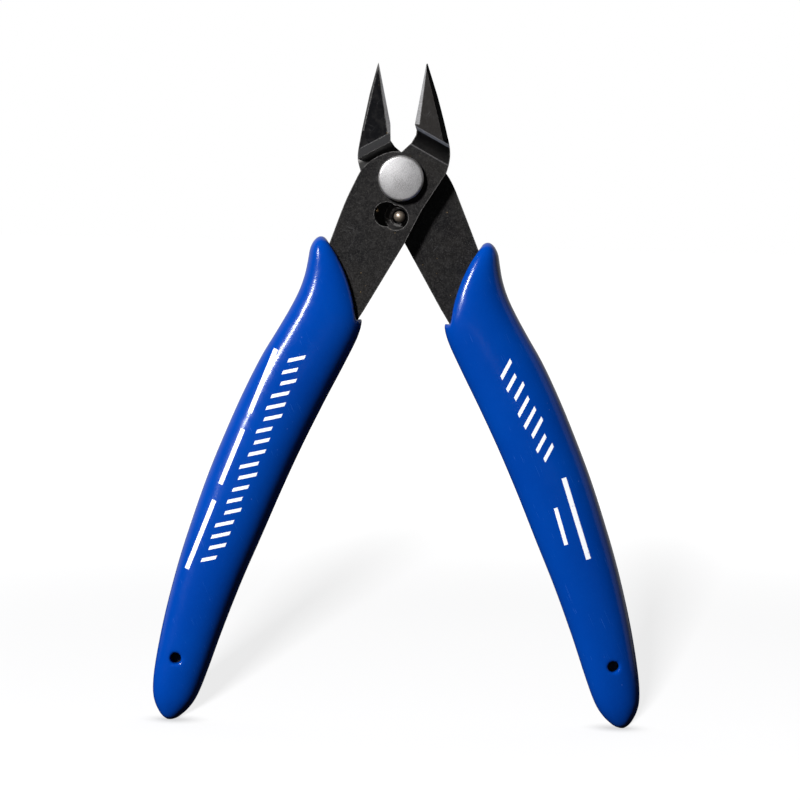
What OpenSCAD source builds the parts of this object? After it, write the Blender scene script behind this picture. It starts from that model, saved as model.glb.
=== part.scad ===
// Flush cutter for electronics: two lapped steel arms on one rivet, a hidden wire spring, two dipped grips.
// Lengths are in millimetres. The origin is on the pivot axis, midway between the two plates.
// The jaws point along +Z, the grips hang along -Z, and the rivet head faces -Y.

/* [Plates] */
// Thickness of each arm's plate
plate_t = 2.9; // [2.6:0.1:3.1]
// Gap between the two plates where they lap
lap_gap = 0.1; // [0.06:0.02:0.16]

/* [Jaws] */
// Jaw thickness at the foot
jaw_foot_t = 7.4; // [7:0.1:7.8]
// Jaw thickness at the tip
jaw_tip_t = 1.1; // [0.8:0.1:1.8]

/* [Rivet] */
// Diameter of the rivet's shank
rivet_d = 4.8; // [4.4:0.1:5.0]
// Diameter of the rivet's head
head_d = 8.4; // [7.8:0.1:8.8]
// Height of the rivet's head
head_h = 1.25; // [0.9:0.05:1.6]

/* [Spring] */
// Diameter of the spring wire
wire_d = 0.66; // [0.5:0.02:0.7]
// Diameter of the ball on the spring post
ball_d = 2.1; // [1.7:0.05:2.1]

/* [Grips] */
// Thickness of a grip at the palm
grip_t = 8.8; // [8:0.2:10.4]
// Diameter of the hanging hole near a grip's end
hang_hole_d = 2.1; // [1.6:0.1:2.6]

/* [Hidden] */
$fn = 48;

steel = [0.16, 0.16, 0.165];
bright = [0.72, 0.72, 0.72];
wire_colour = [0.55, 0.47, 0.36];
vinyl = [0.02, 0.2, 0.72];

// faces of the lapped plates
face_y = plate_t + lap_gap / 2;
mate_y = lap_gap / 2;
mid_y = (face_y + mate_y) / 2;
// fits
rivet_r = rivet_d / 2;
press_r = rivet_r + 0.02;
running_r = rivet_r + 0.06;
side_play = 0.05;
// cutting tools stand this far out of what they cut, or right past the whole tool
eps = 0.4;
past = 20;
far = 240;

// The handles' line of symmetry lies a little beside the pivot.
axis_shift = 0.77;

// Lines across each jaw run at this slope, measured down from +X.
ramp_slope = 28.5;
crease_h = 6.35;
step_h = 9.55;
back_ramp_h = 6.85;
back_foot_h = 8.25;
jaw_top_h = 21.6;
cove_depth = 0.6;

// The spring post, seen through the window, and the two ends of the spring
post = [-0.14, -7.03];
post_neck_r = 0.7;
coil_r = 3.2;
front_leg_end = [-4.32, -5.95];
front_leg_angle = 50;
front_leg_r = 6.8;
rear_leg_angle = -15;
rear_leg_r = 5.6;
wire_room = 0.1;
recess_depth = wire_d / 2 + wire_room - mate_y;

// ---- helpers ----

// A smooth curve through a list of points, with a number of steps between neighbours
function blend(a, b, c, d, t) =
    0.5 * (2 * b + (c - a) * t + (2 * a - 5 * b + 4 * c - d) * t * t
    + (3 * b - a - 3 * c + d) * t * t * t);
function through(p, steps) = [
    for (i = [0 : len(p) - 2], k = [0 : steps - 1])
        blend(p[max(i - 1, 0)], p[i], p[i + 1], p[min(i + 2, len(p) - 1)], k / steps),
    p[len(p) - 1]
];
function unit(v) = v / norm(v);
function power_of(v, e) = sign(v) * pow(abs(v), e);

// A plate between two depths, from an outline given as X and Z
module slab(y_front, y_back) {
    translate([0, y_back, 0])
        rotate([90, 0, 0])
            linear_extrude(height = y_back - y_front) children();
}

// A round bar or hole along Y
module round_y(r, y_front, y_back) {
    translate([0, y_back, 0])
        rotate([90, 0, 0])
            cylinder(r = r, h = y_back - y_front);
}

// A block that starts at p, runs towards q and fills one side of the plane through p, q and s
module beyond(p, q, s, side) {
    reach = 40;
    u = unit(q - p);
    n = unit(cross(q - p, s - p));
    w = cross(n, u);
    place = [for (i = [0 : 2]) [u[i], w[i], n[i], p[i]]];
    multmatrix(concat(place, [[0, 0, 0, 1]]))
        translate([0, -reach / 2, side > 0 ? 0 : -reach / 2])
            cube([reach, reach, reach / 2]);
}

// ---- arms: outlines with the jaw on the right and the shank on the left ----

// The tang inside the grip, as distance from the handles' line of symmetry
tang_outer = [[18, -24], [20.6, -31], [25, -41.5], [31, -56.5], [37, -73], [42.4, -90], [42.9, -94.5]];
tang_inner = [[41, -95.9], [38.7, -94.6], [37.4, -90], [32, -74], [25.6, -57.5], [18.5, -42.5],
              [12.3, -32], [8.6, -26.6]];
function shift_left(p, shift) = [for (q = p) [shift - q[0], q[1]]];

// Each arm: round the hub and down the shank, back up the shank, up the jaw's back, down its edge
front_hub = [[0.05, 4.85], [-1.6, 4.9], [-3.6, 4.3], [-5.61, 3.14], [-7.2, 1.6], [-8.6, -1.08],
             [-10.33, -4.92], [-12.66, -11.32]];
front_shank = [[-6.42, -24.35], [0.94, -11.73], [3.8, -5.95]];
front_shoulder = [[8.31, 1.14], [8.76, 2.74], [8.95, 4.6], [8.69, 6.63], [7.73, 10.6]];
front_tip = [[6.5, 15.1], [4.52, 21.12]];
front_edge = [[4.3, 21.02], [2.36, 9.92]];
front_throat = [[2.73, 8.93], [2.64, 8], [1.79, 6.51]];
front_outline =
    outline(front_hub, front_shank, front_shoulder, front_tip, front_edge, front_throat, axis_shift);

rear_hub = [[-0.05, 4.76], [-1.6, 4.75], [-3.8, 4.2], [-6, 3.1], [-8.05, 1.35], [-9.64, -1.13],
            [-11.44, -5.35], [-14.34, -12.52]];
rear_shank = [[-7.82, -24.1], [-0.89, -11.92], [2.6, -10.2], [5.5, -8], [6.9, -4.8], [7.4, -1.5]];
rear_shoulder = [[7.46, 1.17], [7.93, 2.82], [8.02, 3.75], [7.91, 5.04], [7.28, 8.94]];
rear_tip = [[6.01, 15.44], [4.52, 21.25]];
rear_edge = [[4.44, 21.05], [2.1, 9.9]];
rear_throat = [[2.08, 8.48], [2.03, 6.92], [1.21, 5.79]];
rear_outline =
    outline(rear_hub, rear_shank, rear_shoulder, rear_tip, rear_edge, rear_throat, -axis_shift);

function outline(hub, shank, shoulder, tip, edge, throat, shift) = concat(
    through(hub, 4), shift_left(tang_outer, shift), shift_left(tang_inner, shift), shank,
    through(shoulder, 4), tip, edge, throat
);

// Half the jaw's thickness at a height across the ramp lines
function half_jaw(h) =
    (jaw_foot_t + (jaw_tip_t - jaw_foot_t) * (h - back_foot_h) / (jaw_top_h - back_foot_h)) / 2;
function height_of(p) = p[0] * sin(ramp_slope) + p[1] * cos(ramp_slope);
function on_jaw(p, side, inset) = [p[0], side * (half_jaw(height_of(p)) - inset), p[1]];

// Side shape of a whole arm, as depth and height across the ramp lines
module side_shape() {
    rotate([0, ramp_slope, 0])
        translate([-far / 2, 0, 0])
            rotate([90, 0, 90])
                linear_extrude(height = far)
                    polygon([
                        [-face_y, -far], [-face_y, crease_h], [-half_jaw(step_h), step_h],
                        [-half_jaw(jaw_top_h), jaw_top_h], [half_jaw(jaw_top_h), jaw_top_h],
                        [half_jaw(back_foot_h), back_foot_h], [-mate_y, back_ramp_h], [-mate_y, -far]
                    ]);
}

// The round cove ground across the foot of a jaw's outside face
cove_across = 24;
module cove() {
    rise = half_jaw(step_h) - face_y;
    run = step_h - crease_h;
    chord = sqrt(run * run + rise * rise);
    r = chord * chord / (8 * cove_depth) + cove_depth / 2;
    rotate([0, ramp_slope, 0])
        translate([0, -(half_jaw(step_h) + face_y) / 2, (step_h + crease_h) / 2])
            rotate([atan2(rise, run), 0, 0])
                translate([0, -(r - cove_depth), 0])
                    rotate([0, 90, 0])
                        cylinder(r = r, h = cove_across, center = true, $fn = 96);
}

edge_inset = 0.75;
tip_inset = 0.12;
bevel_run = 3.4;
bevel_depth = 5;
facet_depth = 1.6;

// Grinding of a jaw. The side is the one that is ground nearly flush; the other carries the long bevel.
// The narrow bevel runs on below the cutting edge by a given length. The rim facet is a line up the face,
// from its foot to its top, with a point on the jaw's back that it passes through.
module grinding(edge, run_on, bevel_foot, rim_foot, rim_top, rim_back, side) {
    foot = on_jaw(edge[1], side, edge_inset);
    tip = on_jaw(edge[0], side, tip_inset);
    start = foot - run_on * unit(tip - foot);
    rim = on_jaw(rim_foot, side, 0);
    back = [rim_back[0], rim[1] - side * facet_depth, rim_back[1]];
    beyond(start, tip, on_jaw(bevel_foot, side, 0), side);
    beyond(foot, tip, foot + [bevel_run, -side * bevel_depth, 0], -side);
    beyond(rim, on_jaw(rim_top, side, 0), back, side);
}

module arm_blank(shape) {
    difference() {
        intersection() {
            slab(-past, past) polygon(shape);
            side_shape();
        }
        cove();
    }
}

// Hollow between the plates for the spring's coil and its two legs, cut from the mating face
coil_room = 0.25;
legs_r = 7.9;
legs_sector = [[0, 0], [-9, -6.3], [-8, -12], [-1.5, -12], [2.6, -6.6]];
module spring_recess(y_front, y_back) {
    round_y(coil_r + wire_d / 2 + coil_room, y_front, y_back);
    intersection() {
        round_y(legs_r, y_front, y_back);
        slab(y_front, y_back)
            polygon(legs_sector);
    }
}

// The window is two round holes that run into each other.
window_centres = [[-2.57, -6.61], [-0.8, -7.23]];
window_r = 2.24;

module front_arm() {
    color(steel)
        difference() {
            arm_blank(front_outline);
            grinding(front_edge, 0, [3.2, 9.94], [7.72, 7.18], [4.38, 20.43], [8.75, 7.6], -1);
            round_y(press_r, -past, past);
            for (c = window_centres)
                translate([c[0], 0, c[1]])
                    round_y(window_r, -past, past);
            spring_recess(-mate_y - recess_depth, eps);
        }
}

// Behind the window the rear plate is bored round the post, and sunk beside it.
post_step_r = 1.75;
post_step_depth = 0.2;
post_ring_r = 1.5;
post_ring_depth = 1.2;
post_fit = 0.02;
sink_r = 2.3;
sink_depth = 1.9;
sink_keep_r = 2.7;
leg_hole_depth = 1.6;

module sink(y_front, y_back) {
    difference() {
        translate([window_centres[0][0], 0, window_centres[0][1]])
            round_y(sink_r, y_front, y_back);
        translate([post[0], 0, post[1]])
            round_y(sink_keep_r, y_front - eps, y_back + eps);
    }
}

// The rear arm is drawn like the front one and then turned half round.
module rear_arm() {
    floor_y = mate_y + recess_depth;
    color(steel)
        difference() {
            rotate([0, 0, 180])
                difference() {
                    arm_blank(rear_outline);
                    grinding(rear_edge, 1.6, [2.85, 9.9], [7.05, 8.6], [4.48, 20.9], [7.45, 8.6], 1);
                }
            round_y(running_r, -past, past);
            spring_recess(-eps, floor_y);
            sink(-eps, mate_y + sink_depth);
            translate([post[0], 0, post[1]]) {
                round_y(post_step_r, 0, floor_y + post_step_depth);
                round_y(post_ring_r, 0, floor_y + post_ring_depth);
                round_y(post_neck_r + post_fit, 0, past);
            }
            translate(ray(rear_leg_angle, rear_leg_r))
                round_y(wire_d / 2 + coil_room / 2, 0, leg_hole_depth);
        }
}

// ---- small pieces ----

// The rivet's head has a flattened round rim. Its tail and the collar have small chamfers.
rim_r = 0.55;
rim_flat = 0.85;
head_foot = 0.12;
tail_chamfer = 0.3;
collar_r = 3.9;
collar_t = 1;
collar_chamfer = 0.35;

module rivet() {
    top = face_y + head_h;
    tail = face_y + side_play + collar_t;
    color(bright)
        rotate([90, 0, 0])
            rotate_extrude($fn = 96)
                polygon(concat(
                    [[0, -tail], [rivet_r - tail_chamfer, -tail], [rivet_r, tail_chamfer - tail],
                     [rivet_r, face_y], [head_d / 2 - head_foot, face_y], [head_d / 2, face_y + head_foot]],
                    [for (a = [0 : 10 : 90])
                        [head_d / 2 - rim_r + rim_r * cos(a), top - rim_r * rim_flat * (1 - sin(a))]],
                    [[0, top]]
                ));
}

module rivet_collar() {
    near = face_y + side_play;
    end = near + collar_t;
    color(bright)
        rotate([90, 0, 0])
            rotate_extrude($fn = 96)
                polygon([[press_r, -near], [collar_r, -near], [collar_r, collar_chamfer - end],
                         [collar_r - collar_chamfer, -end], [press_r, -end]]);
}

// A ball on a neck that is pressed into the rear plate
post_short = 0.3;
ball_lift = 0.95;
module spring_post() {
    base = mate_y + plate_t - post_short;
    ball_y = -mate_y - ball_lift;
    color(wire_colour)
        translate([post[0], 0, post[1]])
            rotate([90, 0, 0])
                rotate_extrude($fn = 48)
                    polygon(concat(
                        [[0, -base], [post_neck_r, -base]],
                        [for (a = [-45 : 9 : 90]) [ball_d / 2 * cos(a), -ball_y + ball_d / 2 * sin(a)]]
                    ));
}

// Point at an angle from straight down, positive towards the left grip
function ray(angle, r) = [-r * sin(angle), 0, -r * cos(angle)];

module bar(p, q) {
    d = q - p;
    translate(p)
        rotate([0, acos(d[2] / norm(d)), atan2(d[1], d[0])])
            cylinder(d = wire_d, h = norm(d));
}

// One open ring with two legs. The front leg turns back under the window's edge and ends in the window;
// the rear leg ends in a hole in the rear plate.
front_leg_rise = 1.3;
rear_leg_drop = 1;
module return_spring() {
    foot_l = ray(front_leg_angle, coil_r);
    knee_l = ray(front_leg_angle, front_leg_r);
    end_l = [front_leg_end[0], 0, front_leg_end[1]];
    tip_l = end_l - [0, front_leg_rise, 0];
    foot_r = ray(rear_leg_angle, coil_r);
    end_r = ray(rear_leg_angle, rear_leg_r);
    ring_angle = 360 - (front_leg_angle - rear_leg_angle);
    color(wire_colour)
        union() {
            rotate([90, 0, 0])
                rotate([0, 0, 270 - rear_leg_angle])
                    rotate_extrude(angle = ring_angle, $fn = 72)
                        translate([coil_r, 0])
                            circle(d = wire_d, $fn = 20);
            for (p = [foot_l, knee_l, end_l, tip_l, foot_r, end_r])
                translate(p)
                    sphere(d = wire_d, $fn = 20);
            bar(foot_l, knee_l);
            bar(knee_l, end_l);
            bar(end_l, tip_l);
            bar(foot_r, end_r);
            bar(end_r, end_r + [0, wire_d / 2 + rear_leg_drop, 0]);
        }
}

// ---- grips ----

// Outer and inner edges of a grip, as distance from the handles' line of symmetry, with the part of the
// full thickness that is reached there
grip_rows = [
    [[15.6, -10.8], [15.0, -10.8], 0.12],
    [[16.5, -11.55], [13.9, -11.5], 0.5],
    [[17.25, -13.0], [12.4, -12.9], 0.68],
    [[17.6, -15.0], [10.9, -15.4], 0.77],
    [[18.15, -17.8], [9.3, -18.7], 0.83],
    [[19.15, -20.8], [8.1, -22.6], 0.88],
    [[20.7, -24.0], [7.5, -26.0], 0.92],
    [[22.9, -27.9], [8.2, -29.2], 0.95],
    [[26.0, -33.2], [10.6, -34.3], 0.98],
    [[29.3, -40.0], [14.3, -41.6], 1],
    [[32.3, -47.0], [18.2, -49.7], 1],
    [[35.2, -54.3], [21.7, -57.6], 0.99],
    [[37.9, -62.2], [25.2, -66.0], 0.97],
    [[40.6, -71.0], [28.9, -74.8], 0.93],
    [[43.0, -80.6], [32.3, -83.8], 0.88],
    [[44.6, -89.0], [34.9, -91.3], 0.82],
    [[45.2, -94.3], [36.7, -96.0], 0.73],
    [[44.9, -97.4], [38.3, -98.6], 0.6],
    [[43.7, -99.9], [40.4, -100.5], 0.37],
    [[42.5, -100.95], [42.0, -101.05], 0.09]
];
row_steps = 3;
ring_points = 32;
squareness = 0.92;

function grip_points(shift) =
    let (outer = through([for (r = grip_rows) r[0]], row_steps))
    let (inner = through([for (r = grip_rows) r[1]], row_steps))
    let (thick = through([for (r = grip_rows) [r[2], 0]], row_steps))
    [for (i = [0 : len(outer) - 1], k = [0 : ring_points - 1])
        let (mid = (outer[i] + inner[i]) / 2)
        let (half = (outer[i] - inner[i]) / 2)
        let (a = 360 * k / ring_points)
        let (c = power_of(cos(a), squareness))
        [shift - mid[0] - half[0] * c,
         -mid_y + grip_t / 2 * thick[i][0] * power_of(sin(a), squareness),
         mid[1] + half[1] * c]];

module grip_body(shift) {
    rows = (len(grip_rows) - 1) * row_steps + 1;
    n = ring_points;
    sides = [for (i = [0 : rows - 2], k = [0 : n - 1])
        let (a = i * n + k, b = i * n + (k + 1) % n)
        each [[a, a + n, b], [b, a + n, b + n]]];
    top = [for (k = [0 : n - 1]) k];
    bottom = [for (k = [n - 1 : -1 : 0]) (rows - 1) * n + k];
    polyhedron(points = grip_points(shift), faces = concat(sides, [top], [bottom]));
}

mouth_edge = [[14.9, -9.6], [14.25, -11.4], [13.3, -12.75], [11.9, -15], [10.3, -18.6], [9.2, -22.3],
              [8.75, -25], [8.5, -26.4]];
lip = [[7.85, -25.75], [6, -25.5], [0, -25.5], [0, -9.6]];

// The right grip sits a little further down its tang than the left one, as X and Z in the left form.
right_slip = [-0.22, -0.71];
left_hole = [40.82, -89.09];
right_hole = [40.2, -89.72];

// The hole is blind: it ends on the steel tang. The side is the face that it opens on, -1 or 1.
module grip(shape, shift, slip, hole, side) {
    difference() {
        translate([slip[0], 0, slip[1]])
            difference() {
                grip_body(shift);
                slab(-past, past)
                    polygon(shift_left(concat(through(mouth_edge, 3), lip), shift));
            }
        slab(-face_y, -mate_y)
            polygon(shape);
        translate([shift - hole[0], 0, hole[1]])
            round_y(hang_hole_d / 2, side < 0 ? -past : -mate_y, side < 0 ? -face_y : past);
    }
}

module left_grip() {
    color(vinyl)
        grip(front_outline, axis_shift, [0, 0], left_hole, -1);
}

module right_grip() {
    color(vinyl)
        rotate([0, 0, 180])
            grip(rear_outline, -axis_shift, right_slip, right_hole, 1);
}

front_arm();
rear_arm();
rivet();
rivet_collar();
return_spring();
spring_post();
left_grip();
right_grip();
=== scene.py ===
import math

import bmesh
import bpy
import numpy as np
from mathutils import Matrix, Vector


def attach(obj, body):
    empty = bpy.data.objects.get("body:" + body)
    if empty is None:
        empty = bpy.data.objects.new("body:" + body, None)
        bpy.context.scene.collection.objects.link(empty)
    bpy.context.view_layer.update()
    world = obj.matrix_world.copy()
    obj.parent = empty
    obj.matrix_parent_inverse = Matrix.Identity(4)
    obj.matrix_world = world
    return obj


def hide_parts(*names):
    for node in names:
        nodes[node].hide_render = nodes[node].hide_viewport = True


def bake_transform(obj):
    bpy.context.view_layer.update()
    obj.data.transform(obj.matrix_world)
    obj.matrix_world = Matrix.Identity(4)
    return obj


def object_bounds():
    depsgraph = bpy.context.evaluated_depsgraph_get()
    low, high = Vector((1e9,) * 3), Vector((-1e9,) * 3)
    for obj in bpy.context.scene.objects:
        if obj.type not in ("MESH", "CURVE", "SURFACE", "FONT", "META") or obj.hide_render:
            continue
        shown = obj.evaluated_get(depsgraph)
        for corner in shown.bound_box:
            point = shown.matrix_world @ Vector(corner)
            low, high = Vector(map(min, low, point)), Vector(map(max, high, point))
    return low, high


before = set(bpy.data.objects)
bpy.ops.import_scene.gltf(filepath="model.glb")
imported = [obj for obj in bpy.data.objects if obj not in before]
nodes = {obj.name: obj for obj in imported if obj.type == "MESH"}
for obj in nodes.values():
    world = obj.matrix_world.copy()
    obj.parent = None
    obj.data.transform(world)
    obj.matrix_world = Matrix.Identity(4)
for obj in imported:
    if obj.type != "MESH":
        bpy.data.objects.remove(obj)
cad_low, cad_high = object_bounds()
scene = bpy.context.scene
MM = 0.001


# ---------------------------------------------------------------- node helpers

class Shader:
    """One material and the calls that build its nodes. Inputs may be sockets or plain values."""

    def __init__(self, name):
        self.material = bpy.data.materials.new(name)
        self.material.use_nodes = True
        self.tree = self.material.node_tree
        self.tree.nodes.clear()
        self.surface = self.add("ShaderNodeBsdfPrincipled")
        output = self.add("ShaderNodeOutputMaterial")
        self.tree.links.new(self.surface.outputs["BSDF"], output.inputs["Surface"])
        coords = self.add("ShaderNodeTexCoord")
        self.place = self.vector("SCALE", coords.outputs["Object"], scale=1 / MM)
        self.facing = coords.outputs["Normal"]
        self.x, self.y, self.z = self.split(self.place)
        self.nx, self.ny, self.nz = self.split(self.facing)

    def add(self, kind, **settings):
        node = self.tree.nodes.new(kind)
        for key, value in settings.items():
            setattr(node, key, value)
        return node

    def put(self, socket, value):
        if isinstance(value, bpy.types.NodeSocket):
            self.tree.links.new(value, socket)
        else:
            socket.default_value = value

    def set(self, name, value):
        if isinstance(value, tuple) and len(value) == 3:
            value = (*value, 1)
        self.put(self.surface.inputs[name], value)

    def math(self, operation, a, b=0.0):
        node = self.add("ShaderNodeMath", operation=operation)
        for socket, value in zip(node.inputs, (a, b)):
            self.put(socket, value)
        return node.outputs[0]

    def invert(self, value):
        return self.math("SUBTRACT", 1.0, value)

    def vector(self, operation, a, b=(0, 0, 0), scale=1.0):
        node = self.add("ShaderNodeVectorMath", operation=operation)
        self.put(node.inputs[0], a)
        if operation == "SCALE":
            self.put(node.inputs["Scale"], scale)
        else:
            self.put(node.inputs[1], b)
        return node.outputs["Value" if operation in ("DOT_PRODUCT", "LENGTH", "DISTANCE") else "Vector"]

    def split(self, value):
        node = self.add("ShaderNodeSeparateXYZ")
        self.put(node.inputs[0], value)
        return node.outputs[0], node.outputs[1], node.outputs[2]

    def step(self, value, low, high, to_low=0.0, to_high=1.0):
        node = self.add("ShaderNodeMapRange", interpolation_type="SMOOTHSTEP")
        for key, given in (("Value", value), ("From Min", low), ("From Max", high),
                           ("To Min", to_low), ("To Max", to_high)):
            self.put(node.inputs[key], given)
        return node.outputs[0]

    def times(self, *values):
        result = values[0]
        for value in values[1:]:
            result = self.math("MULTIPLY", result, value)
        return result

    def most(self, *values):
        result = values[0]
        for value in values[1:]:
            result = self.math("MAXIMUM", result, value)
        return result

    def mix(self, amount, a, b):
        node = self.add("ShaderNodeMix", data_type="RGBA")
        self.put(node.inputs[0], amount)
        self.put(node.inputs[6], (*a, 1) if isinstance(a, tuple) else a)
        self.put(node.inputs[7], (*b, 1) if isinstance(b, tuple) else b)
        return node.outputs[2]

    def turned(self, stretch=(1, 1, 1), about_y=0.0, shift=(0, 0, 0)):
        node = self.add("ShaderNodeMapping", vector_type="TEXTURE")
        self.put(node.inputs["Vector"], self.place)
        node.inputs["Location"].default_value = shift
        node.inputs["Rotation"].default_value = (0, math.radians(about_y), 0)
        node.inputs["Scale"].default_value = stretch
        return node.outputs[0]

    def noise(self, scale, detail=3.0, rough=0.55, at=None):
        node = self.add("ShaderNodeTexNoise")
        self.put(node.inputs["Vector"], self.place if at is None else at)
        node.inputs["Scale"].default_value = scale
        node.inputs["Detail"].default_value = detail
        node.inputs["Roughness"].default_value = rough
        return node.outputs["Fac"]

    def cells(self, scale):
        """Distance to the nearest of many scattered points, and that point's own random colour."""
        node = self.add("ShaderNodeTexVoronoi")
        self.put(node.inputs["Vector"], self.place)
        node.inputs["Scale"].default_value = scale
        return node.outputs["Distance"], node.outputs["Color"]

    def rounded(self, radius):
        """The normal as it would be with the edges rounded to a radius."""
        node = self.add("ShaderNodeBevel", samples=6)
        node.inputs["Radius"].default_value = radius * MM
        return node.outputs[0]

    def worn(self, rounded, low, high):
        """How far the rounded normal has turned from the flat one: 1 on an edge, 0 on a face."""
        flat = self.add("ShaderNodeNewGeometry").outputs["Normal"]
        turn = self.invert(self.vector("DOT_PRODUCT", rounded, flat))
        return self.step(turn, low, high)

    def bump(self, height, strength, distance, normal=None):
        node = self.add("ShaderNodeBump")
        node.inputs["Strength"].default_value = strength
        node.inputs["Distance"].default_value = distance * MM
        self.put(node.inputs["Height"], height)
        if normal is not None:
            self.put(node.inputs["Normal"], normal)
        return node.outputs[0]


# ---------------------------------------------------------------- steel arms

# Lines across each jaw run at this slope. Heights h are measured square to them, from the pivot.
RAMP = math.radians(28.5)
# How far all of the oxide is darkened, and how strongly it mirrors.
OXIDE_SHADE = 0.24
OXIDE_SPECULAR = 0.2
# The facet on the right jaw's back, painted black as painted shade, lies to the right of this X at this Z,
# and its edge leans to the left by this much for each millimetre up.
FACET_X, FACET_Z, FACET_LEAN = 7.52, 7.18, 0.2521


def scratches(s, about_y, seed, width=14.0):
    """Thin straight marks that run at one angle across a plate."""
    lines = s.noise(1.0, 1.0, 0.4, s.turned((4.5, 1, 1 / width), about_y, (seed, 0, seed * 0.7)))
    breaks = s.noise(0.35, 2.0, 0.5, s.turned((1, 1, 1), about_y, (0, seed, 0)))
    return s.times(s.step(lines, 0.68, 0.76), s.step(breaks, 0.5, 0.62))


def oxide_base(s, slow, fine, grit, grains_shown):
    """Oxide with slow stains, fine speckle and small grains, some of them lighter."""
    oxide = s.mix(s.step(slow, 0.3, 0.72), (0.0088, 0.0088, 0.0098), (0.0150, 0.0143, 0.0140))
    oxide = s.mix(s.step(fine, 0.46, 0.72), oxide, (0.042, 0.041, 0.040))
    if grains_shown:
        oxide = s.mix(s.times(s.step(grit, 0.52, 0.7), 0.6), oxide, (0.060, 0.058, 0.058))
    return s.mix(s.times(s.step(grit, 0.3, 0.48, 1.0, 0.0), 0.6), oxide, (0.003, 0.003, 0.0036))


def rubbed_and_painted_root(s, h, front, colour):
    """The ground band at the foot of the left jaw, rubbed bright and painted lighter still as painted light,
    darker towards the pivot as painted shade; and the slope above it, darker than the band but painted
    lighter than the oxide.
    """
    # painted light: the slope facing downwards is painted lighter than the oxide
    slope = s.times(s.step(h, 6.9, 7.0), s.step(h, 8.2, 8.1), s.step(s.nz, -0.5, -0.7))
    colour = s.mix(slope, colour, (0.033, 0.033, 0.035))
    root = s.times(front, s.step(h, 7.02, 6.92), s.step(h, 4.3, 4.8))
    brushed = s.noise(1.0, 3.0, 0.6, s.turned((2.4, 1, 0.3), -math.degrees(RAMP)))
    rubbed_and_painted_band = s.mix(s.step(brushed, 0.3, 0.7), (0.22, 0.215, 0.21), (0.36, 0.355, 0.35))
    # painted shade: the band darkens towards the pivot
    painted_shading = s.step(h, 5.6, 6.75)
    rubbed_and_painted_band = s.mix(s.times(painted_shading, painted_shading), (0.03, 0.03, 0.03), rubbed_and_painted_band)
    return s.mix(root, colour, rubbed_and_painted_band)


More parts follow.
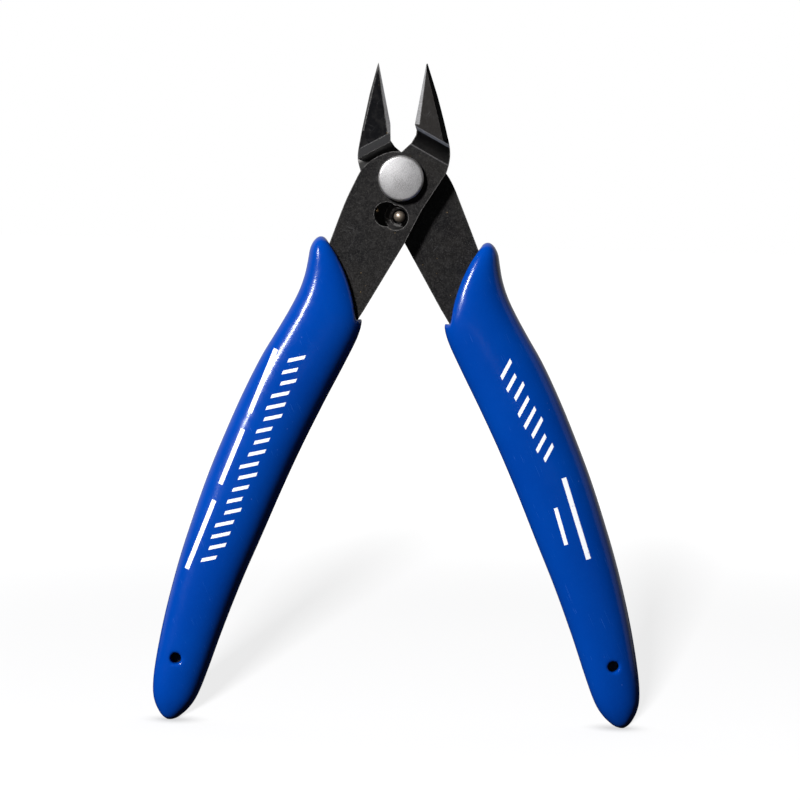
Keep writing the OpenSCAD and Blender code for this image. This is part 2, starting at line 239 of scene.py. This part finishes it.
def steel_arm(name, side):
    """Black-oxide steel. The side is 1 for the arm whose jaw is on the right, -1 for the other."""
    right = side > 0
    s = Shader(name)
    h = s.math("ADD", s.times(s.x, side * math.sin(RAMP)), s.times(s.z, math.cos(RAMP)))
    front = s.step(s.ny, -0.3, -0.6)
    inward = s.step(s.times(s.nx, -side), 0.45, 0.6)
    slow = s.noise(0.16, 3.0, 0.6)
    fine = s.noise(3.6, 4.0, 0.7)
    grit = s.noise(9.0, 2.0, 0.6)
    oxide = oxide_base(s, slow, fine, grit, right)

    if right:
        # warm face above the step; painted shade: the cove black under the step and lighter at its foot
        face = s.times(front, s.step(h, 9.5, 9.7))
        oxide = s.mix(s.times(face, 0.55), oxide, (0.030, 0.0275, 0.0265))
        in_cove = s.times(front, s.step(h, 6.2, 6.5), s.step(h, 9.62, 9.45))
        beside = s.math("ADD", s.x, s.times(s.math("SUBTRACT", s.z, FACET_Z), FACET_LEAN))
        # painted shade: the facet on the jaw's back is painted black
        facet = s.times(s.step(beside, FACET_X, FACET_X + 0.14), s.step(h, 9.5, 9.8))
        dark = s.most(facet, s.times(in_cove, s.step(h, 6.3, 8.6, 0.45, 0.88)))
        # painted highlights: a bright ragged line along the step's edge and a fainter light line along the
        # crease
        ragged = s.math("ADD", h, s.times(s.math("SUBTRACT", s.noise(2.2, 2.0, 0.6), 0.5), 0.16))
        painted_edge_glint = s.times(front, s.step(ragged, 9.12, 9.28), s.step(ragged, 9.74, 9.58))
        painted_crease_glint = s.times(front, s.step(ragged, 6.14, 6.26), s.step(ragged, 6.5, 6.36), 0.3)
    else:
        face = s.times(front, s.step(h, 8.1, 8.4))
        oxide = s.mix(s.times(face, 0.8), oxide, (0.0070, 0.0074, 0.0092))
        dark = s.times(face, 0.45)
        # painted highlights: a thin light line at the foot of the face and another along the top of the band
        # below
        painted_edge_glint = s.times(front, s.step(h, 8.12, 8.2), s.step(h, 8.42, 8.3), 0.18)
        painted_crease_glint = s.times(front, s.step(h, 6.7, 6.8), s.step(h, 7.02, 6.9), 0.25)

    # marks: scratches at three angles, gold-brown specks, worn edges
    marks = s.most(scratches(s, 24, 3.1), scratches(s, -52, 7.7), s.times(scratches(s, 81, 12.9, 18.0), 0.8))
    marks = s.times(marks, 0.8)
    smudge = s.times(s.step(s.noise(0.75, 5.0, 0.7), 0.46, 0.70), 0.62)
    speck_gap, speck_tint = s.cells(1.15)
    specks = s.times(s.step(speck_gap, 0.13, 0.07), s.step(s.split(speck_tint)[0], 0.86, 0.9))
    worn = s.times(s.worn(s.rounded(0.32), 0.003, 0.04), s.step(s.noise(1.9, 4.0, 0.7), 0.35, 0.56))
    if right:
        worn = s.times(worn, s.invert(facet))

    colour = s.mix(smudge, oxide, (0.034, 0.033, 0.033))
    colour = s.mix(marks, colour, (0.095, 0.095, 0.10))
    colour = s.mix(OXIDE_SHADE, colour, (0.0, 0.0, 0.0))
    # painted shade: the right jaw's cove and facet go almost black; the left jaw's face is darkened
    colour = s.mix(dark, colour, (0.0005, 0.0005, 0.0007))
    if not right:
        colour = rubbed_and_painted_root(s, h, front, colour)
    colour = s.mix(s.times(specks, 0.7), colour, (0.20, 0.14, 0.07))
    # painted highlights along the crease and the edge
    colour = s.mix(painted_crease_glint, colour, (0.09, 0.09, 0.1))
    colour = s.mix(s.times(painted_edge_glint, 0.85), colour, (0.17, 0.185, 0.225))
    colour = s.mix(s.times(worn, 0.9), colour, (0.17, 0.167, 0.167))

    # bright ground bevels along the cutting edge
    silver = s.times(inward, s.step(s.z, 9.3, 9.7) if right else s.step(s.z, 7.7, 8.0))
    grind = s.noise(1.0, 3.0, 0.6, s.turned((1.6, 1, 0.075), 12 * side))
    pale = 0.8 if right else 1.0
    bevel = s.mix(s.step(grind, 0.25, 0.75), (0.46 * pale, 0.46 * pale, 0.47 * pale),
                  (0.80 * pale, 0.80 * pale, 0.82 * pale))
    s.set("Base Color", s.mix(silver, colour, bevel))
    s.set("Metallic", s.most(s.times(silver, 0.9), s.times(painted_edge_glint, 0.55), s.times(worn, 0.45)))
    rough = s.step(s.math("ADD", s.times(fine, 0.6), s.times(slow, 0.4)), 0.3, 0.7, 0.40, 0.58)
    rough = s.math("ADD", rough, s.times(marks, -0.25))
    rough = s.math("ADD", s.times(rough, s.invert(silver)), s.times(silver, 0.3))
    if right:
        rough = s.most(rough, s.times(facet, 0.85))
    s.set("Roughness", rough)
    s.set("Specular IOR Level", OXIDE_SPECULAR)

    relief = s.math("ADD", s.times(fine, 0.7), s.times(grit, 0.3))
    relief = s.math("SUBTRACT", relief, s.times(marks, 0.6))
    relief = s.math("ADD", relief, s.times(silver, s.times(grind, 0.6)))
    s.set("Normal", s.bump(relief, 0.35, 0.03, s.rounded(0.12)))
    return s.material


# ---------------------------------------------------------------- bright metal

def rivet_metal():
    """Satin plated steel with fine pits, faint turning rings and two larger marks on the head."""
    s = Shader("satin_rivet_steel")
    radius = s.math("SQRT", s.math("ADD", s.times(s.x, s.x), s.times(s.z, s.z)))
    fine = s.noise(5.5, 4.0, 0.65)
    cloud = s.noise(0.5, 3.0, 0.5)
    grains, tint = s.cells(4.2)
    pit = s.times(s.step(grains, 0.24, 0.1), s.step(s.split(tint)[0], 0.55, 0.6))
    marks = []
    for x, z, r in ((-1.1, 0.2, 0.13), (0.2, -0.2, 0.15), (1.9, 1.3, 0.08), (-0.6, -2.3, 0.07)):
        away = s.vector("DISTANCE", s.place, (x, -4.15, z))
        marks.append(s.step(away, r, r * 0.45))
    pits = s.most(s.times(pit, 0.45), *[s.times(m, 0.6) for m in marks])
    colour = s.mix(s.step(cloud, 0.3, 0.7), (0.22, 0.215, 0.218), (0.29, 0.285, 0.29))
    colour = s.mix(s.step(fine, 0.38, 0.68), colour, (0.40, 0.395, 0.40))
    rim = s.step(s.math("ABSOLUTE", s.ny), 0.985, 0.90)
    colour = s.mix(rim, colour, (0.62, 0.61, 0.61))
    colour = s.mix(pits, colour, (0.16, 0.155, 0.15))
    s.set("Base Color", colour)
    s.set("Metallic", s.step(rim, 0.0, 1.0, 0.55, 0.95))
    s.set("Roughness", s.step(s.math("ADD", s.times(fine, 0.5), s.times(cloud, 0.5)), 0.3, 0.7, 0.34, 0.46))
    rings = s.math("SINE", s.times(radius, 26.0))
    relief = s.math("ADD", s.times(fine, 0.8), s.times(rings, 0.05))
    relief = s.math("SUBTRACT", relief, pits)
    crown = s.bump(s.times(radius, radius, -0.02), 1.0, 1.0)
    s.set("Normal", s.bump(relief, 0.45, 0.03, crown))
    return s.material


def small_metal(name, dark, light, roughness, scale):
    """Drawn or turned metal of a small piece, with fine lines and a light tarnish."""
    s = Shader(name)
    tarnish = s.noise(scale, 3.0, 0.6)
    lines = s.noise(1.0, 2.0, 0.5, s.turned((1, 0.08, 0.5)))
    s.set("Base Color", s.mix(s.step(tarnish, 0.32, 0.68), dark, light))
    s.set("Metallic", 0.8)
    s.set("Roughness", s.step(tarnish, 0.3, 0.7, roughness + 0.1, roughness))
    s.set("Normal", s.bump(s.math("ADD", lines, tarnish), 0.2, 0.012))
    return s.material


# ---------------------------------------------------------------- dipped vinyl

# Printed bars lean by this much for each millimetre across the strip, fill this share of their pitch,
# and have edges this soft. Each one is swayed and shortened a little by its number.
LEAN, FILLED, SOFT = 0.7, 0.32, 0.06


def strip(s, start, end, height, pitch=None):
    """A printed strip between two points in X and Z: plain, or hatched with leaning bars."""
    a, b = Vector(start), Vector(end)
    length = (b - a).length
    along = (b - a) / length
    across = Vector((-along.y, along.x))
    u = s.vector("DOT_PRODUCT", s.vector("SUBTRACT", s.place, (a.x, 0, a.y)), (along.x, 0, along.y))
    v = s.vector("DOT_PRODUCT", s.vector("SUBTRACT", s.place, (a.x, 0, a.y)), (across.x, 0, across.y))
    if pitch is None:
        inside_u = s.times(s.step(u, -SOFT, SOFT), s.step(u, length + SOFT, length - SOFT))
        return s.times(inside_u, s.step(s.math("ABSOLUTE", v), height / 2 + SOFT, height / 2 - SOFT))
    count = round(length / pitch)
    slid = s.math("ADD", u, s.times(v, LEAN))
    place = s.math("DIVIDE", slid, length / count)
    whole = s.math("FLOOR", place)
    within = s.times(s.step(whole, -0.6, -0.4), s.step(whole, count - 0.4, count - 0.6))
    part = s.math("FRACT", place)
    edge = SOFT / (length / count)
    bar = s.times(s.step(part, 0.5 - FILLED / 2 - edge, 0.5 - FILLED / 2 + edge),
                  s.step(part, 0.5 + FILLED / 2 + edge, 0.5 + FILLED / 2 - edge))
    sway = s.times(s.math("SINE", s.times(whole, 2.3)), 0.10 * height)
    reach = s.math("ADD", s.times(s.math("SINE", s.times(whole, 5.1)), 0.05 * height), 0.42 * height)
    past_end = s.math("SUBTRACT", s.math("ABSOLUTE", s.math("ADD", v, sway)), reach)
    return s.times(within, bar, s.step(past_end, SOFT, -SOFT))


def vinyl(name, strips):
    """Glossy blue dipped vinyl with plain white printed strips on its front."""
    s = Shader(name)
    slow = s.noise(0.06, 3.0, 0.5)
    skin = s.noise(0.55, 3.0, 0.5)
    fine = s.noise(3.2, 4.0, 0.6)
    dust_gap, dust_tint = s.cells(0.55)
    dust = s.times(s.step(dust_gap, 0.075, 0.03), s.step(s.split(dust_tint)[1], 0.8, 0.84))
    blue = s.mix(s.step(slow, 0.3, 0.7), (0.0, 0.026, 0.188), (0.0, 0.030, 0.205))
    blue = s.mix(s.times(s.step(fine, 0.4, 0.75), 0.25), blue, (0.0, 0.035, 0.23))
    scuff = s.times(scratches(s, 66, 4.4, 16.0), 0.18)
    blue = s.mix(scuff, blue, (0.05, 0.14, 0.45))
    blue = s.mix(s.times(dust, 0.25), blue, (0.12, 0.2, 0.5))
    wear = s.math("ADD", s.times(s.noise(1.7, 4.0, 0.7), 0.7), s.times(s.noise(7.0, 2.0, 0.6), 0.3))
    ink = s.most(*[strip(s, *given) for given in strips])
    ink = s.times(ink, s.step(s.ny, -0.15, -0.3), s.step(wear, 0.30, 0.40))
    s.set("Base Color", s.mix(ink, blue, (0.62, 0.64, 0.68)))
    rough = s.step(s.math("ADD", s.times(skin, 0.5), s.times(fine, 0.5)), 0.32, 0.68, 0.14, 0.22)
    rough = s.math("ADD", rough, s.math("ADD", s.times(ink, 0.18), s.times(scuff, 0.8)))
    s.set("Roughness", rough)
    s.set("Specular IOR Level", 0.38)
    relief = s.math("ADD", s.times(skin, 0.8), s.times(fine, 0.12))
    relief = s.math("ADD", relief, s.times(ink, 0.12))
    s.set("Normal", s.bump(relief, 0.25, 0.12))
    return s.material


# ---------------------------------------------------------------- grip shape

# Outer and inner edge of a grip as distance from the handles' line of symmetry and height, with the
# share of the full thickness there; the same rows as the CAD grips.
GRIP_ROWS = [
    ((15.6, -10.8), (15.0, -10.8), 0.12), ((16.5, -11.55), (13.9, -11.5), 0.5),
    ((17.25, -13.0), (12.4, -12.9), 0.68), ((17.6, -15.0), (10.9, -15.4), 0.77),
    ((18.15, -17.8), (9.3, -18.7), 0.83), ((19.15, -20.8), (8.1, -22.6), 0.88),
    ((20.7, -24.0), (7.5, -26.0), 0.92), ((22.9, -27.9), (8.2, -29.2), 0.95),
    ((26.0, -33.2), (10.6, -34.3), 0.98), ((29.3, -40.0), (14.3, -41.6), 1.0),
    ((32.3, -47.0), (18.2, -49.7), 1.0), ((35.2, -54.3), (21.7, -57.6), 0.99),
    ((37.9, -62.2), (25.2, -66.0), 0.97), ((40.6, -71.0), (28.9, -74.8), 0.93),
    ((43.0, -80.6), (32.3, -83.8), 0.88), ((44.6, -89.0), (34.9, -91.3), 0.82),
    ((45.2, -94.3), (36.7, -96.0), 0.73), ((44.9, -97.4), (38.3, -98.6), 0.6),
    ((43.7, -99.9), (40.4, -100.5), 0.37), ((42.5, -100.95), (42.0, -101.05), 0.09),
]
MOUTH = [(14.9, -9.6), (14.25, -11.4), (13.3, -12.75), (11.9, -15.0), (10.3, -18.6), (9.2, -22.3),
         (8.75, -25.0), (8.5, -26.4)]
# The lip's corners, 0.2 mm lower than in the CAD grips.
LIP = [(7.9, -25.95), (6.0, -25.7), (0.0, -25.7), (0.0, -9.6)]
HANG_HOLE = {-1: (40.82, -89.09), 1: (40.2, -89.72)}
HANG_HOLE_R = 1.05
SLIP = {-1: (0.0, 0.0), 1: (0.22, -0.71)}
AXIS_SHIFT = 0.77
PLATE_MID = 1.5
GRIP_T = 8.8
SQUARENESS = 0.92
# The size of the remeshed faces, and how far the cutters reach in front of and behind a grip.
VOXEL = 0.26
CUT_FAR = 20.0


def around(count):
    """Evenly spaced angles of one turn."""
    return np.arange(count) * 2 * np.pi / count


def through(points, steps):
    """A smooth curve through the points, with a number of steps between neighbours."""
    p = np.array(points, float)
    rows = []
    for i in range(len(p) - 1):
        a, b, c, d = p[max(i - 1, 0)], p[i], p[i + 1], p[min(i + 2, len(p) - 1)]
        for t in np.arange(steps) / steps:
            rows.append(0.5 * (2 * b + (c - a) * t + (2 * a - 5 * b + 4 * c - d) * t * t
                               + (3 * b - a - 3 * c + d) * t ** 3))
    return np.array(rows + [p[-1]])


def mesh_object(name, points, faces):
    mesh = bpy.data.meshes.new(name)
    mesh.from_pydata([tuple(p) for p in points], [], faces)
    mesh.update()
    made = bpy.data.objects.new(name, mesh)
    scene.collection.objects.link(made)
    return made


def prism(name, outline, y_low, y_high):
    """A closed block from an outline in X and Z."""
    n = len(outline)
    points = [(x * MM, y * MM, z * MM) for y in (y_low, y_high) for x, z in outline]
    faces = [[(i + 1) % n, i, i + n, (i + 1) % n + n] for i in range(n)]
    faces += [list(range(n)), list(range(2 * n - 1, n - 1, -1))]
    made = mesh_object(name, points, faces)
    made.data.validate()
    return outward(made)


def outward(made):
    """Turns a closed mesh's faces outwards."""
    work = bmesh.new()
    work.from_mesh(made.data)
    bmesh.ops.recalc_face_normals(work, faces=work.faces)
    work.to_mesh(made.data)
    work.free()
    return made


def relax(mesh, rounds, amount):
    """Evens a dense mesh: each point moves towards the middle of its neighbours."""
    count = len(mesh.vertices)
    co = np.zeros(count * 3)
    mesh.vertices.foreach_get("co", co)
    co = co.reshape(-1, 3)
    pairs = np.zeros(len(mesh.edges) * 2, int)
    mesh.edges.foreach_get("vertices", pairs)
    a, b = pairs[::2], pairs[1::2]
    share = np.maximum(np.bincount(a, minlength=count) + np.bincount(b, minlength=count), 1)[:, None]
    for _ in range(rounds):
        total = np.zeros_like(co)
        for axis in range(3):
            total[:, axis] = (np.bincount(a, co[b, axis], count) + np.bincount(b, co[a, axis], count))
        co += amount * (total / share - co)
    mesh.vertices.foreach_set("co", co.ravel())
    mesh.update()


def grip(name, side, material):
    """One dipped grip. The side is -1 for the left grip and 1 for the right one."""
    steps, ring = 8, 112
    outer = through([r[0] for r in GRIP_ROWS], steps) + SLIP[side]
    inner = through([r[1] for r in GRIP_ROWS], steps) + SLIP[side]
    thick = through([(r[2], 0) for r in GRIP_ROWS], steps)[:, 0]
    c, w = (np.sign(v) * np.abs(v) ** SQUARENESS for v in (np.cos(around(ring)), np.sin(around(ring))))
    points = []
    for o, i, t in zip(outer, inner, thick):
        mid, half = (o + i) / 2, (o - i) / 2
        x = AXIS_SHIFT + side * (mid[0] + half[0] * c)
        y = side * PLATE_MID + GRIP_T / 2 * t * w
        z = mid[1] + half[1] * c
        points += list(np.stack([x, y, z], 1) * MM)
    rows = len(outer)
    faces = [[i * ring + k, i * ring + (k + 1) % ring, (i + 1) * ring + (k + 1) % ring, (i + 1) * ring + k]
             for i in range(rows - 1) for k in range(ring)]
    faces += [list(range(ring))[::-1], list(range((rows - 1) * ring, rows * ring))]
    body = outward(mesh_object(name, points, faces))

    mouth_line = np.array([*through(MOUTH, 6), *LIP]) + SLIP[side]
    mouth = prism(name + "_mouth", [(AXIS_SHIFT + side * x, z) for x, z in mouth_line], -CUT_FAR, CUT_FAR)
    hole_x, hole_z = HANG_HOLE[side]
    hole_x = AXIS_SHIFT + side * hole_x
    rim = [(hole_x + HANG_HOLE_R * math.cos(a), hole_z + HANG_HOLE_R * math.sin(a)) for a in around(48)]
    hole = prism(name + "_hole", rim, -CUT_FAR, side * PLATE_MID)
    for cutter in (mouth, hole):
        cut = body.modifiers.new("cut", "BOOLEAN")
        cut.operation = "DIFFERENCE"
        cut.object = cutter
        cut.solver = "EXACT"
    fine = body.modifiers.new("fine", "REMESH")
    fine.mode = "VOXEL"
    fine.voxel_size = VOXEL * MM
    bpy.context.view_layer.update()
    final = bpy.data.meshes.new_from_object(body.evaluated_get(bpy.context.evaluated_depsgraph_get()))
    body.modifiers.clear()
    body.data = final
    for cutter in (mouth, hole):
        bpy.data.objects.remove(cutter)
    relax(final, 7, 0.5)
    final.polygons.foreach_set("use_smooth", [True] * len(final.polygons))
    final.materials.clear()
    final.materials.append(material)
    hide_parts(name + "_grip")
    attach(body, "front" if side < 0 else "rear")
    return body


# ---------------------------------------------------------------- spring wire

def tube(name, path, radius, sides=18):
    """A round wire along a path of points in millimetres, with domed ends."""
    p = np.array(path, float)
    first, last = p[0] - p[1], p[-1] - p[-2]
    first, last = first / np.linalg.norm(first), last / np.linalg.norm(last)
    dome = [(math.sin(a), math.cos(a)) for a in np.radians([15, 35, 55, 75])]
    centres = [p[0] + first * radius * k for _, k in dome] + list(p) + [p[-1] + last * radius * k
                                                                       for _, k in dome[::-1]]
    sizes = [k for k, _ in dome] + [1] * len(p) + [k for k, _ in dome[::-1]]
    centres = np.array(centres)
    tangent = np.gradient(centres, axis=0)
    tangent /= np.linalg.norm(tangent, axis=1)[:, None]
    side = np.cross(tangent[0], (0.3, 0.9, 0.1))
    points = []
    for c, t, size in zip(centres, tangent, sizes):
        side = side - t * side.dot(t)
        side /= np.linalg.norm(side)
        other = np.cross(t, side)
        for a in around(sides):
            points.append((c + radius * size * (math.cos(a) * side + math.sin(a) * other)) * MM)
    n = len(centres)
    faces = [[i * sides + k, i * sides + (k + 1) % sides, (i + 1) * sides + (k + 1) % sides,
              (i + 1) * sides + k] for i in range(n - 1) for k in range(sides)]
    faces += [list(range(sides))[::-1], list(range((n - 1) * sides, n * sides))]
    made = outward(mesh_object(name, points, faces))
    made.data.polygons.foreach_set("use_smooth", [True] * len(made.data.polygons))
    return made


def bent(corners, radius, steps=7):
    """A path through the corners with each one rounded."""
    c = np.array(corners, float)
    path = [c[0]]
    for a, b, d in zip(c, c[1:], c[2:]):
        r = min(radius, np.linalg.norm(b - a) / 2.2, np.linalg.norm(d - b) / 2.2)
        start = b + (a - b) / np.linalg.norm(a - b) * r
        end = b + (d - b) / np.linalg.norm(d - b) * r
        for t in np.linspace(0, 1, steps):
            path.append((1 - t) ** 2 * start + 2 * t * (1 - t) * b + t * t * end)
    return np.array(path + [c[-1]])


COIL_R = 3.2
WIRE_R = 0.33
BEND_R = 0.45
# Each leg leaves the coil at an angle and runs out to a distance from the pivot. The front one then
# goes to its end, and on towards the window.
FRONT_LEG = (50.0, 6.8)
FRONT_END = (-4.32, 0.0, -5.95)
FRONT_TIP_Y = -1.3
REAR_LEG = (-15.0, 5.6)


def ray(angle, r, y=0.0):
    """A point at an angle from straight down, positive towards the left grip."""
    a = math.radians(angle)
    return (-r * math.sin(a), y, -r * math.cos(a))


def spring(material):
    arc = [ray(a, COIL_R) for a in np.linspace(FRONT_LEG[0], REAR_LEG[0] + 360, 90)]
    tip = (FRONT_END[0], FRONT_TIP_Y, FRONT_END[2])
    into = bent([tip, FRONT_END, ray(*FRONT_LEG), arc[0], arc[2]], BEND_R)[:-1]
    out = bent([arc[-3], arc[-1], ray(*REAR_LEG), ray(*REAR_LEG, WIRE_R + 1)], BEND_R)[1:]
    made = tube("spring_wire_coil", [*into, *arc[3:-3], *out], WIRE_R)
    made.data.materials.append(material)
    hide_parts("return_spring")
    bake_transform(made)
    return made


# ---------------------------------------------------------------- build

def give(node, material):
    mesh = nodes[node].data
    if not mesh.materials:
        mesh.materials.append(material)
    for i in range(len(mesh.materials)):
        mesh.materials[i] = material


give("front_arm", steel_arm("black_oxide_front", 1))
give("rear_arm", steel_arm("black_oxide_rear", -1))
satin = rivet_metal()
give("rivet", satin)
give("rivet_collar", satin)
give("spring_post", small_metal("bronze_post", (0.26, 0.21, 0.165), (0.38, 0.325, 0.27), 0.30, 2.2))
wire = spring(small_metal("spring_wire_steel", (0.45, 0.29, 0.14), (0.8, 0.62, 0.40), 0.34, 1.6))

left = grip("left", -1, vinyl("blue_vinyl_left", [
    ((-18.1, -32.2), (-34.2, -71.4), 3.1, 2.35),
    ((-22.4, -31.6), (-27.0, -43.4), 0.8), ((-28.2, -46.4), (-32.2, -56.6), 0.8),
    ((-33.3, -59.6), (-38.2, -72.4), 0.8),
]))
right = grip("right", 1, vinyl("blue_vinyl_right", [
    ((19.4, -33.6), (28.6, -51.2), 3.6, 2.6),
    ((31.0, -54.6), (35.9, -69.6), 0.9), ((29.6, -60.2), (31.7, -67.0), 0.7),
]))


# ---------------------------------------------------------------- floor, light and camera

CENTRE = Vector((0.53, 0.0, -40.9)) * MM
FLOOR_Z = cad_low.z


def lowest(piece):
    """The lowest point of a mesh that lies in the row frame."""
    co = np.zeros(len(piece.data.vertices) * 3)
    piece.data.vertices.foreach_get("co", co)
    co = co.reshape(-1, 3)
    return co[co[:, 2].argmin()]


def floor(*feet):
    """A pale floor that touches both feet. It is a little off level, because one grip sits lower."""
    a, b = (lowest(foot) for foot in feet)
    slope = (b[2] - a[2]) / (b[0] - a[0])
    half = 4.0
    corners = [(-half, -half), (half, -half), (half, half), (-half, half)]
    made = mesh_object("pale_floor", [(x, y, a[2] + slope * (x - a[0])) for x, y in corners], [[0, 1, 2, 3]])
    s = Shader("pale_floor")
    seen = s.add("ShaderNodeLightPath").outputs["Is Camera Ray"]
    # painted light: for the camera the floor glows, dimmer near the tool and full white far off; within 5 mm
    # of the feet the glow is dimmed as a painted contact shadow
    away = s.vector("DISTANCE", s.place, (30.0, 60.0, -100.0))
    painted_contact_shadow = s.add("ShaderNodeAmbientOcclusion", samples=8)
    painted_contact_shadow.inputs["Distance"].default_value = 5 * MM
    lit = s.step(away, 90.0, 420.0, 0.78, 1.02)
    lit = s.times(lit, s.step(painted_contact_shadow.outputs["AO"], 0.35, 0.95, 0.62, 1.0))
    s.set("Base Color", s.mix(seen, (0.02, 0.02, 0.02), (0.22, 0.22, 0.225)))
    s.set("Roughness", 0.9)
    s.set("Specular IOR Level", 0.0)
    s.set("Emission Color", (1.0, 1.0, 1.0))
    s.set("Emission Strength", s.times(seen, lit))
    made.data.materials.append(s.material)
    return made


def lamp(name, place, target, width, height, power, colour=(1, 1, 1), only=(), but=()):
    """An area lamp, in metres and watts. It lights only some things, or everything but some things."""
    light = bpy.data.lights.new(name, "AREA")
    light.shape = "RECTANGLE"
    light.size, light.size_y = width, height
    light.energy = power
    light.color = colour
    made = bpy.data.objects.new(name, light)
    made.location = place
    made.rotation_euler = (Vector(target) - Vector(place)).to_track_quat("-Z", "Y").to_euler()
    scene.collection.objects.link(made)
    group = bpy.data.collections.new(name + "_linked")
    for thing in only or but:
        group.objects.link(thing)
    for item in group.collection_objects:
        item.light_linking.link_state = "INCLUDE" if only else "EXCLUDE"
    made.light_linking.receiver_collection = group
    return made


def backdrop():
    """White to look at; as light it is bright behind the tool and dark in front, like a lit backdrop."""
    world = bpy.data.worlds.new("studio")
    scene.world = world
    world.use_nodes = True
    tree = world.node_tree
    back = tree.nodes["Background"]
    back.inputs["Color"].default_value = (1, 1, 1, 1)
    coords = tree.nodes.new("ShaderNodeTexCoord")
    axes = tree.nodes.new("ShaderNodeSeparateXYZ")
    tree.links.new(coords.outputs["Generated"], axes.inputs[0])
    around_tool = tree.nodes.new("ShaderNodeMapRange")
    around_tool.interpolation_type = "SMOOTHSTEP"
    for socket, value in (("From Min", -0.15), ("From Max", 0.6), ("To Min", 0.01), ("To Max", 0.55)):
        around_tool.inputs[socket].default_value = value
    tree.links.new(axes.outputs[1], around_tool.inputs["Value"])
    seen = tree.nodes.new("ShaderNodeLightPath")
    amount = tree.nodes.new("ShaderNodeMapRange")
    amount.inputs["To Max"].default_value = 1.0
    tree.links.new(seen.outputs["Is Camera Ray"], amount.inputs["Value"])
    tree.links.new(around_tool.outputs[0], amount.inputs["To Min"])
    tree.links.new(amount.outputs[0], back.inputs["Strength"])


ground = floor(left, right)
backdrop()
metal = [nodes["rivet"], nodes["rivet_collar"], nodes["spring_post"], wire]
grips = [left, right]
PIVOT = (0, 0, 0)
KEY = (-0.46, -0.58, 0.44)

key = lamp("key", KEY, CENTRE, 0.12, 0.12, 18.0, (1.0, 0.99, 0.975), but=[ground, *metal])
key.visible_glossy = False
bounce = lamp("bounce", (0.38, 0.0, -0.70), PIVOT, 0.20, 0.20, 6.0, only=[nodes["rear_arm"]])
bounce.data.use_shadow = False
lamp("metal_key", KEY, CENTRE, 0.30, 0.30, 16.5, only=metal)
lamp("metal_front", (-0.14, -0.84, 0.16), PIVOT, 0.08, 0.08, 1.5, only=metal)
lamp("streak", (-0.62, -0.55, 0.22), CENTRE, 0.06, 0.16, 4.6, only=grips)
lamp("upper_left", (-0.72, -0.10, 0.42), CENTRE, 0.34, 0.34, 0.4, but=[ground, *grips])
lamp("right_card", (0.75, -0.10, 0.05), CENTRE, 0.30, 0.60, 0.2, but=[ground])
lamp("floor_lamp", (-0.17, -1.48, 0.105), (0, 0, FLOOR_Z), 0.12, 0.03, 130.0, only=[ground])

# The camera's distance, and the width of what it sees there, in metres.
DISTANCE = 0.6
SPAN = 148.0 * MM
ELEVATION = math.radians(4.0)
ROLL = math.radians(1.0)
camera = bpy.data.cameras.new("camera")
camera.sensor_width = 36.0
camera.lens = camera.sensor_width * DISTANCE / SPAN
camera.clip_start = 0.01
camera.clip_end = 50.0
camera_object = bpy.data.objects.new("camera", camera)
toward = Vector((0, -math.cos(ELEVATION), math.sin(ELEVATION)))
camera_object.matrix_world = (Matrix.Translation(CENTRE + toward * DISTANCE)
                              @ toward.to_track_quat("Z", "Y").to_matrix().to_4x4()
                              @ Matrix.Rotation(ROLL, 4, "Z"))
scene.collection.objects.link(camera_object)
scene.camera = camera_object
scene.view_settings.view_transform = "Standard"
